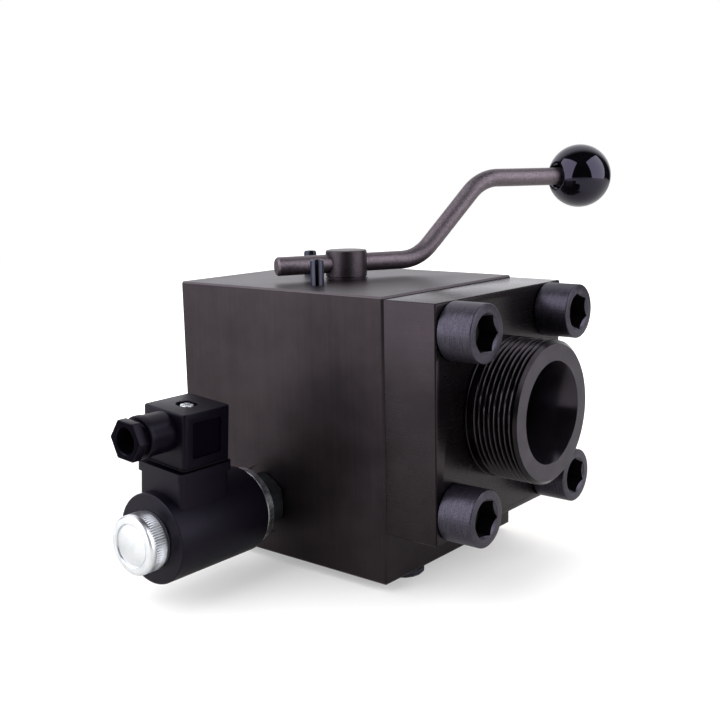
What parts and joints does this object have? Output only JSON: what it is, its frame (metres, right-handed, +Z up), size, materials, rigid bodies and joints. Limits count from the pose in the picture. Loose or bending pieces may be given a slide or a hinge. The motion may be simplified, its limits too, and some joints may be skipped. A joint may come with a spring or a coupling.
{
  "type": "hydraulic safety block",
  "caption": "Steel accumulator safety block with a lever-turned ball valve, a bolted flange with a threaded stub, a solenoid valve with a square plug and a relief valve.",
  "frame": {"origin": "middle of the four fixing holes on the steel block's back face, which is 60 mm above the bottom face; the screw plugs below that reach 3.3 mm lower", "axes": "+X along the flow bore towards the threaded stub, +Y away from the solenoid valve, +Z up through the spindle"},
  "size_m": [0.167, 0.2545, 0.1828],
  "materials": {
    "black_oxide": "black oxide",
    "flange_black": "black oxide, brushed",
    "screw_black": "satin black oxide",
    "lever_steel": "browned",
    "phenolic_black": "glossy",
    "zinc": "zinc plated",
    "steel": "ground",
    "spring_steel": "blued",
    "coil_plastic": "matt",
    "plug_plastic": "satin",
    "rubber": "matt",
    "seat_plastic": "satin",
    "brass": "bright",
    "grey_nylon": "satin"
  },
  "bodies": {
    "block": {"valve_block": "black_oxide", "flange_adapter": "flange_black", "flange_seal": "rubber", "cap_screw_1": "screw_black", "cap_screw_2": "screw_black", "cap_screw_3": "screw_black", "cap_screw_4": "screw_black", "ball_seat_outlet": "seat_plastic", "ball_seat_inlet": "seat_plastic", "seat_sleeve": "steel", "thrust_washer": "seat_plastic", "stop_pin_front": "spring_steel", "stop_pin_rear": "spring_steel", "cartridge_body": "zinc", "cartridge_seal_1": "rubber", "cartridge_seal_2": "rubber", "armature_tube": "steel", "coil": "coil_plastic", "coil_end_plate": "zinc", "coil_seal": "rubber", "coil_nut": "zinc", "contact_blade_1": "brass", "contact_blade_2": "brass", "earth_blade": "brass", "plug_gasket": "rubber", "plug_insert": "grey_nylon", "plug_housing": "plug_plastic", "plug_screw": "zinc", "gland_washer": "grey_nylon", "gland_seal": "rubber", "gland_nut": "plug_plastic", "relief_body": "zinc", "relief_seal": "rubber", "relief_adjuster": "zinc", "relief_locknut": "zinc", "base_plug_1": "screw_black", "base_plug_2": "screw_black", "base_plug_3": "screw_black", "base_plug_4": "screw_black"},
    "lever": {"spindle": "lever_steel", "spindle_seal_1": "rubber", "spindle_seal_2": "rubber", "valve_ball": "steel", "lever_rod": "lever_steel", "ball_knob": "phenolic_black"},
    "solenoid_armature": {"armature": "steel", "valve_poppet": "steel", "armature_spring": "spring_steel"},
    "relief_piston": {"relief_poppet": "steel", "relief_spring": "spring_steel"}
  },
  "joints": [
    {"name": "lever_turn", "type": "hinge", "parent": "block", "child": "lever", "pos_m": [0.016, -0.048, 0.06], "axis": [0, 0, 1], "range_deg": [-62, 28]},
    {"name": "armature_stroke", "type": "slide", "parent": "block", "child": "solenoid_armature", "axis": [0, -1, 0], "range_m": [0, 0.002], "stiffness_N_per_m": 1500, "springref_m": -0.003, "deforming": ["armature_spring"]},
    {"name": "relief_lift", "type": "slide", "parent": "block", "child": "relief_piston", "axis": [0, 1, 0], "range_m": [0, 0.003], "stiffness_N_per_m": 8000, "springref_m": -0.003, "deforming": ["relief_spring"]}
  ]
}
